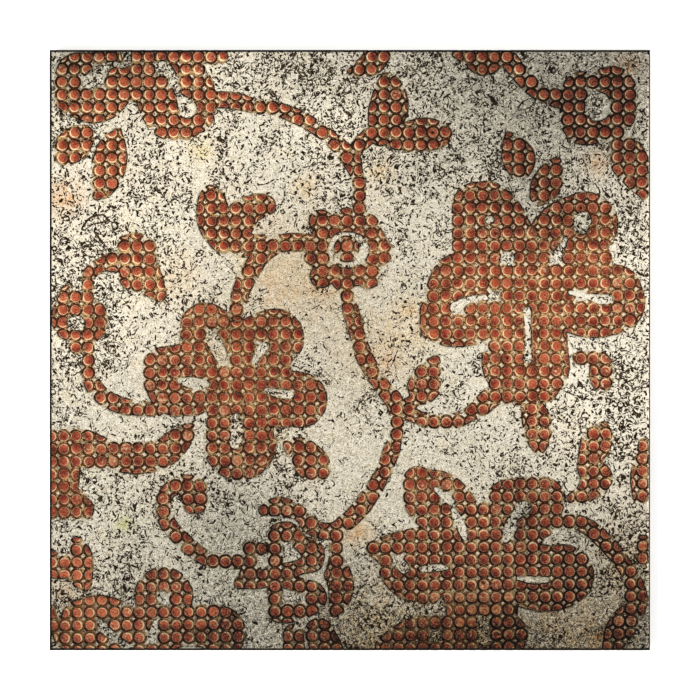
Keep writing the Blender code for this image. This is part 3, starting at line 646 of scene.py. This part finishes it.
def grid_faces(columns, rows):
    """Corner numbers of the quads of a grid whose points run along the rows, first row first."""
    first = (np.arange(rows)[:, None] * (columns + 1) + np.arange(columns)).ravel()
    return np.stack([first, first + 1, first + columns + 2, first + columns + 1], 1)


def placed(name, data, place=(0, 0, 0)):
    """A new object of the scene, at place in metres."""
    obj = bpy.data.objects.new(name, data)
    obj.location = place
    bpy.context.scene.collection.objects.link(obj)
    return obj


def listed(*grids):
    """The grids' numbers side by side, with a row for each point; a line of numbers repeats over them."""
    return np.stack([grid.ravel() for grid in np.broadcast_arrays(*grids)], 1)


def add_piece(name, points, quads, uv, material):
    """A mesh object from points in millimetres, quads, and each point's place on the bake's map."""
    mesh = bpy.data.meshes.new(name)
    mesh.vertices.add(len(points))
    mesh.vertices.foreach_set("co", (points * MM).astype(np.float32).ravel())
    mesh.loops.add(quads.size)
    mesh.loops.foreach_set("vertex_index", quads.ravel().astype(np.int32))
    mesh.polygons.add(len(quads))
    mesh.polygons.foreach_set("loop_start", np.arange(0, quads.size, 4, dtype=np.int32))
    layer = mesh.uv_layers.new(name="OFBake")
    layer.data.foreach_set("uv", uv[quads.ravel()].astype(np.float32).ravel())
    mesh.update(calc_edges=True)
    mesh.validate()
    mesh.shade_smooth()
    mesh.materials.append(material)
    obj = placed(name, mesh)
    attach(obj, "root")
    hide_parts("stone_slab")
    return obj


def face_patch(maps, stains, normals, column, row, material):
    """One square patch of the height map, with its maps as attributes and the whole face's normals."""
    i, j = column * PATCH_CELLS, row * PATCH_CELLS
    part = np.s_[j : j + PATCH_CELLS + 1, i : i + PATCH_CELLS + 1]
    points = listed(*(maps[key][part] for key in ("x", "y", "height")))
    steps = np.linspace(BAKE_MARGIN, 1 - BAKE_MARGIN, PATCH_CELLS + 1)
    name = f"carved_face_{ROW_NAMES[row]}_{COLUMN_NAMES[column]}"
    quads = grid_faces(PATCH_CELLS, PATCH_CELLS)
    obj = add_piece(name, points, quads, listed(*np.meshgrid(steps, steps)), material)
    mesh = obj.data
    for attribute, keys in MAPS_CARRIED.items():
        layer = mesh.attributes.new(attribute, "FLOAT_VECTOR", "POINT")
        numbers = listed(*(maps[key][part] for key in keys))
        layer.data.foreach_set("vector", numbers.astype(np.float32).ravel())
    layer = mesh.attributes.new("stain", "FLOAT_COLOR", "POINT")
    layer.data.foreach_set("color", stains[part].astype(np.float32).ravel())
    mesh.normals_split_custom_set_from_vertices(normals[part].reshape(-1, 3))
    return obj


def body_patch(maps, column, row, material):
    """The back of one patch, a flat grid, and its outer sides.

    A side's points stand below the face's border points, at even shares of the height there.
    """
    lines = maps["lines"]
    last = PATCHES * PATCH_CELLS
    i, j = column * PATCH_CELLS, row * PATCH_CELLS
    xs = np.linspace(lines[i], lines[i + PATCH_CELLS], BACK_CELLS + 1)
    ys = np.linspace(lines[j], lines[j + PATCH_CELLS], BACK_CELLS + 1)
    points = [listed(*np.meshgrid(xs, ys), np.zeros(1))]
    quads = [grid_faces(BACK_CELLS, BACK_CELLS)[:, ::-1]]
    steps = np.linspace(0, 1, BACK_CELLS + 1)
    uvs = [listed(*np.meshgrid(steps, steps)) * BACK_SHARE + BAKE_MARGIN]
    count = len(points[0])
    run = np.arange(PATCH_CELLS + 1)
    borders = (
        (row == 0, i + run, 0 * run, False),
        (row == PATCHES - 1, i + run, 0 * run + last, True),
        (column == 0, 0 * run, j + run, True),
        (column == PATCHES - 1, 0 * run + last, j + run, False),
    )
    sides = [side for outer, *side in borders if outer]
    drop = np.linspace(0, 1, SIDE_ROWS + 1)[:, None]
    for k, (ci, cj, flip) in enumerate(sides):
        points.append(listed(lines[ci], lines[cj], maps["height"][cj, ci] * drop))
        quad = grid_faces(PATCH_CELLS, SIDE_ROWS) + count
        quads.append(quad[:, ::-1] if flip else quad)
        along, across = run / PATCH_CELLS * BACK_SHARE + BAKE_MARGIN, drop * STRIP_SHARE + STRIP_START
        uvs.append(listed(across, along) if k else listed(along, across))
        count += len(points[-1])
    name = f"sawn_body_{ROW_NAMES[row]}_{COLUMN_NAMES[column]}"
    obj = add_piece(name, np.vstack(points), np.vstack(quads), np.vstack(uvs), material)
    obj.data.set_sharp_from_angle(angle=0.6)
    return obj


# ---- Materials ----


def linear(colour):
    """A screen colour of 0 to 255 as the linear numbers the shaders work in, by the sRGB curve."""
    c = np.array(colour, float) / 255
    return np.where(c <= 0.04045, c / 12.92, ((c + 0.055) / 1.055) ** 2.4)


def math_node(operation, turned=False):
    """A method of Value that adds a Math node for the operation, with its two terms turned round or not."""

    def add_node(*terms):
        return terms[0].shader.math(operation, *(terms[::-1] if turned else terms))

    return add_node


class Value:
    """A number in a shader. Arithmetic on it adds Math nodes to its material."""

    def __init__(self, shader, socket):
        self.shader, self.socket = shader, socket

    __add__ = __radd__ = math_node("ADD")
    __mul__ = __rmul__ = math_node("MULTIPLY")
    __sub__, __rsub__ = math_node("SUBTRACT"), math_node("SUBTRACT", turned=True)
    most, size = math_node("MAXIMUM"), math_node("ABSOLUTE")

    def ramp(self, low, high):
        """0 at low and 1 at high, with an S-shaped run between; high may be the lower number."""
        sockets = {"Value": self, "From Min": low, "From Max": high}
        return self.shader.node("ShaderNodeMapRange", {"interpolation_type": "SMOOTHSTEP"}, sockets)


class Shader:
    """A material under construction around one Principled BSDF."""

    def __init__(self, name, **constants):
        self.material = bpy.data.materials.new(name)
        self.material.use_nodes = True
        self.tree = self.material.node_tree
        self.surface = self.tree.nodes["Principled BSDF"]
        for socket, value in constants.items():
            self.surface.inputs[socket.replace("_", " ")].default_value = value

    def node(self, kind, settings=None, sockets=None, out=0):
        """Adds a node, sets its settings, fills its sockets with values or links, and gives one output."""
        made = self.tree.nodes.new(kind)
        for key, value in (settings or {}).items():
            setattr(made, key, value)
        for key, value in (sockets or {}).items():
            if isinstance(value, Value):
                self.tree.links.new(value.socket, made.inputs[key])
            else:
                made.inputs[key].default_value = value
        return Value(self, made.outputs[out])

    def math(self, operation, *terms):
        """A Math node on its terms, each a Value or a plain number."""
        return self.node("ShaderNodeMath", {"operation": operation}, dict(enumerate(terms)))

    def vector(self, operation, first, second):
        """A Vector Math node on two vectors."""
        return self.node("ShaderNodeVectorMath", {"operation": operation}, {0: first, 1: second})

    def mix(self, share, first, second, blend="MIX"):
        """Colours first and second mixed, with share of the second."""
        first, second = (c if isinstance(c, Value) else (*linear(c) / LIGHT, 1.0) for c in (first, second))
        settings = {"data_type": "RGBA", "blend_type": blend}
        return self.node("ShaderNodeMix", settings, {0: share, 6: first, 7: second}, out=2)

    def layers(self, colour, *coats):
        """The colour with others laid over it in turn, each given as (share, colour)."""
        for share, coat in coats:
            colour = self.mix(share, colour, coat)
        return colour

    def millimetres(self):
        """The place on the object in millimetres."""
        return self.stretched(self.node("ShaderNodeTexCoord", out=3), (1 / MM, 1 / MM, 1 / MM))

    def shifted(self, place, noise, amount):
        """The place moved about by a noise's colour, up to about half the amount each way."""
        centred = self.vector("SUBTRACT", noise, (0.5, 0.5, 0.5))
        return self.vector("ADD", place, self.stretched(centred, (amount, amount, amount)))

    def stretched(self, place, scale):
        """The place times a number along each axis; a pattern on it is longer where that is under 1."""
        return self.vector("MULTIPLY", place, scale)

    def noise(self, place, size, detail=2.0, rough=0.5, out=0):
        """Noise from 0 to 1 with patches of about the given size in millimetres; out=1 gives its colour."""
        sockets = {"Vector": place, "Scale": 1 / size, "Detail": detail, "Roughness": rough}
        return self.node("ShaderNodeTexNoise", None, sockets, out)

    def cells(self, place, size):
        """Scattered points about size apart: the distance to the nearest, and its two random numbers."""
        sockets = {"Vector": place, "Scale": 1 / size}
        near = self.node("ShaderNodeTexVoronoi", {"voronoi_dimensions": "2D"}, sockets)
        chance, width, _ = self.split(Value(self, near.socket.node.outputs[1]))
        return near * size, chance, width

    def split(self, vector):
        """The three numbers of a vector."""
        parts = self.node("ShaderNodeSeparateXYZ", None, {0: vector}).socket.node.outputs
        return [Value(self, part) for part in parts]

    def numbers(self, name):
        """The three numbers of a mesh attribute."""
        return self.split(self.node("ShaderNodeAttribute", {"attribute_name": name}, out=1))

    def bump(self, height, depth):
        """The normal tilted by the slope of height, where a height of 1 stands depth millimetres up."""
        sockets = {"Strength": 1.0, "Distance": depth * MM, "Height": height}
        return self.node("ShaderNodeBump", None, sockets)

    def finish(self, **links):
        """Links each Value to the surface's socket of its name, where _ is a space; gives the material."""
        for socket, value in links.items():
            self.tree.links.new(value.socket, self.surface.inputs[socket.replace("_", " ")])
        return self.material


def blobs(shader, place, size, least, spread_of, share):
    """Round voids at scattered points, a share of which carry one: how far a place is inside it."""
    near, chance, width = shader.cells(place, size)
    return (least + spread_of * width) * (share - chance).ramp(0.0, 0.05) - near


def pits(shader, place, density):
    """Natural voids too small to model: the shares that are pit, its deep middle, and the rim round it that
    takes a painted highlight.

    Small pits sit at scattered points of a warped place, longer than wide along one way or the other, and
    larger ones are round. A few points carry rings, and short worm-like runs follow the middle value of a
    soft noise. The density from 0 to 1 says how many points carry a pit.
    """
    warp = shader.noise(place, 1.2, 1.0, out=1)
    sway = shader.noise(place, 7.0, 1.0, out=1)
    swayed = shader.shifted(shader.shifted(place, warp, 1.3), sway, 10.0)
    across = blobs(shader, shader.stretched(swayed, (0.7, 1.0, 1.0)), 1.5, 0.24, 0.44, density * 0.54)
    along = blobs(shader, shader.stretched(swayed, (1.0, 0.7, 1.0)), 1.5, 0.24, 0.44, density * 0.54)
    coarse = blobs(shader, shader.shifted(place, warp, 3.0), 4.6, 0.4, 0.7, density * 0.9 - 0.22)
    near, chance, width = shader.cells(shader.shifted(place, warp, 2.2), 9.0)
    ring = 0.35 - (near - 1.0 - width).size() - 9.0 * (chance - density * 0.2).ramp(-0.03, 0.03)
    vein = shader.noise(shader.shifted(place, warp, 1.5), 5.0, 2.0)
    where = shader.noise(place, 15.0, 1.0)
    worm = 0.25 - (vein - 0.5).size() * 14.0 - 3.0 * (where + density * 0.2).ramp(0.68, 0.6)
    over = across.most(along).most(coarse).most(ring).most(worm)
    return over.ramp(-0.14, 0.04), over.ramp(0.0, 0.2), over.ramp(-0.7, -0.1)


def face_values(shader):
    """What the face's shading hangs on at a point: the meshes' own maps, and noises of three sizes."""
    at = SimpleNamespace(place=shader.millimetres())
    for name, keys in MAPS_CARRIED.items():
        vars(at).update(zip(keys, shader.numbers(name)))
    at.stain = shader.node("ShaderNodeAttribute", {"attribute_name": "stain"})
    at.grain = shader.noise(at.place, 0.75, 2.0, 0.7)
    at.fleck = shader.noise(at.place, 1.9, 2.0, 0.6)
    at.spot = shader.noise(at.place, 4.2, 2.0, 0.6)
    at.ragged = (at.grain - 0.5) * 0.6 + (at.fleck - 0.5) * 0.6
    # Which side of a dot its paint slips towards; it places the painted shade, highlights and shadows on and
    # round the dot.
    at.lean = at.paint - at.cut
    return at


def bare_stone(shader, at, pit, core, rim_highlight):
    """Cream travertine in soft patches, flecked, stained and pitted, with a painted highlight round each
    pit; paler between the dots of a field.
    """
    patch = shader.noise(at.place, 14.0, 3.0, 0.55)
    drift = shader.noise(at.place, 45.0, 2.0, 0.5)
    stone = shader.layers(
        shader.mix(drift.ramp(0.35, 0.65), CREAM, PALE),
        (patch.ramp(0.5, 0.7) * 0.6, HONEY),
        (patch.ramp(0.45, 0.28) * 0.5, ASH),
        # An olive tint where the painted shade is deep.
        (at.light.ramp(0.9, 0.4) * 0.5, OLIVE),
        (at.spot.ramp(0.52, 0.72) * 0.5, DULL),
        (at.spot.ramp(0.5, 0.3) * 0.5, PALE_FLECK_AND_HIGHLIGHT),
        (at.fleck.ramp(0.54, 0.68) * 0.6, DULL),
        (at.fleck.ramp(0.5, 0.32) * 0.6, PALE_FLECK_AND_HIGHLIGHT),
        (at.grain.ramp(0.52, 0.63) * 0.8, SHADE),
        (at.grain.ramp(0.5, 0.36) * 0.95, PALE_FLECK_AND_HIGHLIGHT),
        # Painted highlight round each pit's rim.
        (rim_highlight * 0.5, PALE_FLECK_AND_HIGHLIGHT),
        # Painted light where the face is painted lighter than even.
        (at.light.ramp(1.0, 1.15) * 0.2, PALE_FLECK_AND_HIGHLIGHT),
    )
    stone = shader.mix(1.0, stone, at.stain, "MULTIPLY")
    outer, inner = at.cut + at.ragged * 0.6, (at.field + at.ragged * 0.5).ramp(0.3, -0.3)
    star = inner * outer.ramp(CUT_WIDTH + 0.9, CUT_WIDTH + 0.2)
    # Pits, then the verge of the cuts, the bits between four dots, and a dull band along the fields'
    # outline.
    return shader.layers(
        stone,
        # Pits dark with dirt and painted shade.
        (pit, PIT_BROWN),
        (core, PIT_DARK),
        (outer.ramp(CUT_WIDTH + 0.5, CUT_WIDTH) * at.field.ramp(0.2, -0.8) * 0.7, WASH_OLIVE),
        (star * (0.1 + at.fleck * 1.2), STAR),
        ((at.field + at.ragged).ramp(0.9, 0.1) * (1.0 - star) * 0.2, DULL),
    )


def wash_in_cuts(shader, at):
    """Dark brown wash, gone gold where it is faded, with light flecks, and a painted shadow beside each dot,
    away from its lit side.
    """
    light_fleck = at.spot * 0.3 + at.grain * 0.35 + at.fleck * 0.35 + at.lean * 0.06
    verge = (at.field + at.ragged * 2.0).ramp(-1.6, -0.4)
    dappled = at.spot + at.faded * 0.1
    return shader.layers(
        shader.mix(at.fleck.ramp(0.4, 0.6), WASH_OLIVE, WASH_RED),
        (at.faded.ramp(0.45, 1.0) * (at.cut + at.ragged + at.lean * 0.5).ramp(0.1, 1.1), WASH_GOLD),
        # Painted shadow beside each dot on the side its paint slips towards.
        ((at.lean + at.ragged).ramp(0.1, -0.6) * 0.7, WASH_BROWN),
        (light_fleck.ramp(0.54, 0.59) * 0.85, WASH_LIGHT),
        ((at.grain + at.lean * 0.1).ramp(0.54, 0.42) * 0.85, WASH_BROWN),
        (verge * dappled.ramp(0.58, 0.5) * 0.75, WASH_BROWN),
        (verge * dappled.ramp(0.6, 0.68) * 0.5, WASH_LIGHT),
        (at.faded.ramp(0.6, 0.0) * 0.7, WASH_BROWN),
    )


def red_paint(shader, at):
    """Red-brown flecked paint: each dot has its own tone, with painted shade on one side and a painted
    highlight on the other.
    """
    return shader.layers(
        shader.mix(at.tone.ramp(0.0, 1.0), RED, ORANGE),
        (at.spot.ramp(0.46, 0.36) * 0.5, CRIMSON),
        (at.shade.ramp(0.6, 1.0) * 0.8, RED_SHADE),
        (at.shade.ramp(0.4, 0.0) * 0.8, BRIGHT),
        (at.paled.ramp(0.0, 1.0) * 0.85, BRIGHT),
        (at.paled.ramp(0.6, 1.6) * 0.3, SHOULDER_TAN),
        (at.paled.ramp(0.0, -1.0) * 0.85, RED_SHADE),
        # Painted shade on the side the paint slips towards, and a painted highlight near the rim on the
        # other, as on a lit dome.
        (at.lean.ramp(0.25, -0.6) * 0.8, RED_SHADE),
        (at.lean.ramp(0.0, 0.6) * at.paint.ramp(-3.4, -0.6) * 0.85, BRIGHT),
        (at.spot.ramp(0.5, 0.64) * 0.25, RED_SHADE),
        (at.fleck.ramp(0.54, 0.68) * 0.4, RED_SHADE),
        (at.grain.ramp(0.52, 0.62) * 0.8, RED_SHADE),
        (at.grain.ramp(0.46, 0.35) * (at.tone * 0.8 + 0.1), DUSTY),
        (at.fleck.ramp(0.46, 0.34) * 0.45, BRIGHT),
    )


def bared_dot(shader, at, rubbed):
    """A dot's stone where its paint is gone: cream and tan, browner at the rim, and gold where rubbed."""
    bared = shader.layers(
        shader.mix(at.grain.ramp(0.5, 0.64), SHOULDER_CREAM, SHOULDER_TAN),
        ((at.fleck * 0.4 + at.grain * 0.6).ramp(0.6, 0.52) * rubbed * 0.9, WASH_GOLD),
        ((at.cut + at.ragged).ramp(-0.35, 0.0) * 0.6, SHOULDER_BROWN),
    )
    return shader.mix(1.0, bared, at.stain, "MULTIPLY")


def carved_face_material():
    """Travertine with dark wash in the cuts and red-brown paint on the dots, worn off in places."""
    shader = Shader("carved travertine", Specular_IOR_Level=SHEEN)
    at = face_values(shader)
    pit, core, rim_highlight = pits(shader, at.place, at.pitting)

    trench = (at.cut + at.ragged * 0.5).ramp(-0.15, 0.1)
    trench = trench * (at.cut + at.ragged * 1.2).ramp(CUT_WIDTH + 0.45, CUT_WIDTH + 0.05)
    trench = trench * (at.field + at.ragged * 1.6).ramp(0.6, 0.0)
    on_dot = (at.cut + at.ragged * 0.3).ramp(0.02, -0.22)
    rubbed = (at.fleck * 0.6 + at.grain * 0.4 + at.wear * 0.3).ramp(0.67, 0.72)
    coat = (at.paint + at.ragged + (at.spot - 0.5) * 1.0).ramp(0.1, -0.15) * (1.0 - rubbed * 0.9)
    # Painted shade with dirt over the whole face, flecked; less of it on pale and rubbed dots.
    shade_and_dirt = (1.0 - at.light) * (1.0 + 2.0 * (at.grain - 0.5) + 1.4 * (at.fleck - 0.5))
    shade_and_dirt = shade_and_dirt * (1.0 - on_dot * (at.paled.ramp(0.2, 1.3) * 0.5 + rubbed * at.wear * 0.7))
    colour = shader.layers(
        bare_stone(shader, at, pit, core, rim_highlight),
        (trench, wash_in_cuts(shader, at)),
        (on_dot, shader.mix(coat, bared_dot(shader, at, rubbed), red_paint(shader, at))),
        # Larger voids and cracks, dark with dirt and painted shade.
        (at.hollow.ramp(0.25, 0.6), shader.mix(at.fleck.ramp(0.4, 0.7), PIT_DARK, PIT_BROWN)),
        (shade_and_dirt, BLACK),
        # Painted shade along the arris: a near-black line at the tile's edges.
        ((at.edge + at.ragged).ramp(1.9, 1.1), EDGE_DARK),
    )

    open_pit = pit * (1.0 - trench) * (1.0 - on_dot)
    rough = 0.55 + 0.2 * trench + 0.2 * open_pit - 0.12 * coat * on_dot + 0.2 * (at.grain - 0.5)
    height = at.grain * 0.35 + at.fleck * 0.35 + at.spot * 0.2 - open_pit
    return shader.finish(Base_Color=colour, Roughness=rough, Normal=shader.bump(height, 0.4))


def sawn_body_material():
    """Bare sawn travertine: beds of cream and honey with open voids, and fine saw lines across them."""
    shader = Shader("sawn travertine", Specular_IOR_Level=SHEEN)
    place = shader.millimetres()
    flat = shader.stretched(place, (0.35, 1.0, 1.6))
    bed = shader.noise(flat, 9.0, 4.0, 0.6)
    grain = shader.noise(place, 0.8, 3.0, 0.6)
    fleck = shader.noise(place, 2.4, 2.0, 0.6)
    hole = shader.noise(flat, 3.2, 2.0, 0.6)
    where = shader.noise(place, 20.0, 1.0)
    pit = (hole + where * 0.25).ramp(0.78, 0.82)
    stone = shader.layers(
        shader.mix(bed.ramp(0.4, 0.6), PALE, ASH),
        (bed.ramp(0.42, 0.3) * 0.6, HONEY),
        (fleck.ramp(0.5, 0.7) * 0.5, DULL),
        (grain.ramp(0.5, 0.8) * 0.5, SHADE),
        (pit, PIT_BROWN),
    )
    sockets = {"Vector": place, "Scale": 0.16, "Distortion": 1.5, "Detail": 1.0, "Detail Scale": 0.1}
    saw = shader.node("ShaderNodeTexWave", {"bands_direction": "DIAGONAL"}, sockets, out=1)
    rough = 0.66 + 0.2 * pit + 0.1 * (fleck - 0.5)
    height = grain * 0.2 + saw * 0.12 - pit
    return shader.finish(Base_Color=stone, Roughness=rough, Normal=shader.bump(height, 0.4))


def floor_material():
    """Plain matt white, with the faintest unevenness."""
    shader = Shader("studio floor", Roughness=0.9, Specular_IOR_Level=0.0)
    place = shader.millimetres()
    tint = shader.mix(shader.noise(place, 260.0, 1.0), FLOOR_WHITE, FLOOR_SHADE)
    return shader.finish(Base_Color=tint)


# ---- Studio ----


def add_floor():
    """A wide square just under the tile."""
    mesh = bpy.data.meshes.new("floor")
    half = FLOOR / 2
    corners = [(-half, -half, 0), (half, -half, 0), (half, half, 0), (-half, half, 0)]
    mesh.from_pydata(corners, [], [(0, 1, 2, 3)])
    mesh.materials.append(floor_material())
    placed("floor", mesh, (0, 0, -FLOOR_GAP))


def add_area(name, place, aim, size, power, colour):
    """A square area lamp at place, turned to face aim."""
    light = bpy.data.lights.new(name, "AREA")
    light.size, light.energy, light.color = size, power, colour
    towards = Vector(aim) - Vector(place)
    placed(name, light, place).rotation_euler = towards.to_track_quat("-Z", "Y").to_euler()


def add_camera():
    """Straight down over VIEW_MIDDLE; VIEW_WIDTH across the face fills the frame."""
    data = bpy.data.cameras.new("camera")
    data.lens, data.sensor_width = LENS, SENSOR
    data.clip_start = 0.01
    height = THICK + VIEW_WIDTH * LENS / SENSOR
    place = [distance * MM for distance in (*VIEW_MIDDLE, height)]
    bpy.context.scene.camera = placed("camera", data, place)


def add_world():
    """Even white light from all round."""
    world = bpy.data.worlds.new("studio")
    world.use_nodes = True
    background = world.node_tree.nodes["Background"]
    background.inputs["Color"].default_value = (1, 1, 1, 1)
    background.inputs["Strength"].default_value = SKY
    bpy.context.scene.world = world


def main():
    """The camera, the maps once, each patch of face and body from them, and the studio.

    The normals are worked out over the whole face, from the height's slopes, so the patches meet unseen.
    """
    scene = bpy.context.scene
    scene.view_settings.view_transform = "Standard"
    scene.view_settings.look = "None"
    add_camera()
    maps = face_maps()
    stains = stain_colours(maps["x"], maps["y"])
    step = maps["lines"][1] - maps["lines"][0]
    slope_y, slope_x = np.gradient(maps["height"], step)
    normals = np.stack([-slope_x, -slope_y, np.ones_like(slope_x)], -1)
    normals /= np.linalg.norm(normals, axis=-1, keepdims=True)
    carved, sawn = carved_face_material(), sawn_body_material()
    for row in range(PATCHES):
        for column in range(PATCHES):
            face_patch(maps, stains, normals, column, row, carved)
            body_patch(maps, column, row, sawn)
    add_floor()
    add_world()
    add_area("key", (-1.3, -0.9, 1.3), (0, 0, 0), 1.0, KEY_POWER, (1.0, 0.985, 0.96))
    add_area("fill", (0.9, 0.9, 1.6), (0, 0, 0), 1.6, FILL_POWER, (0.96, 0.98, 1.0))


main()
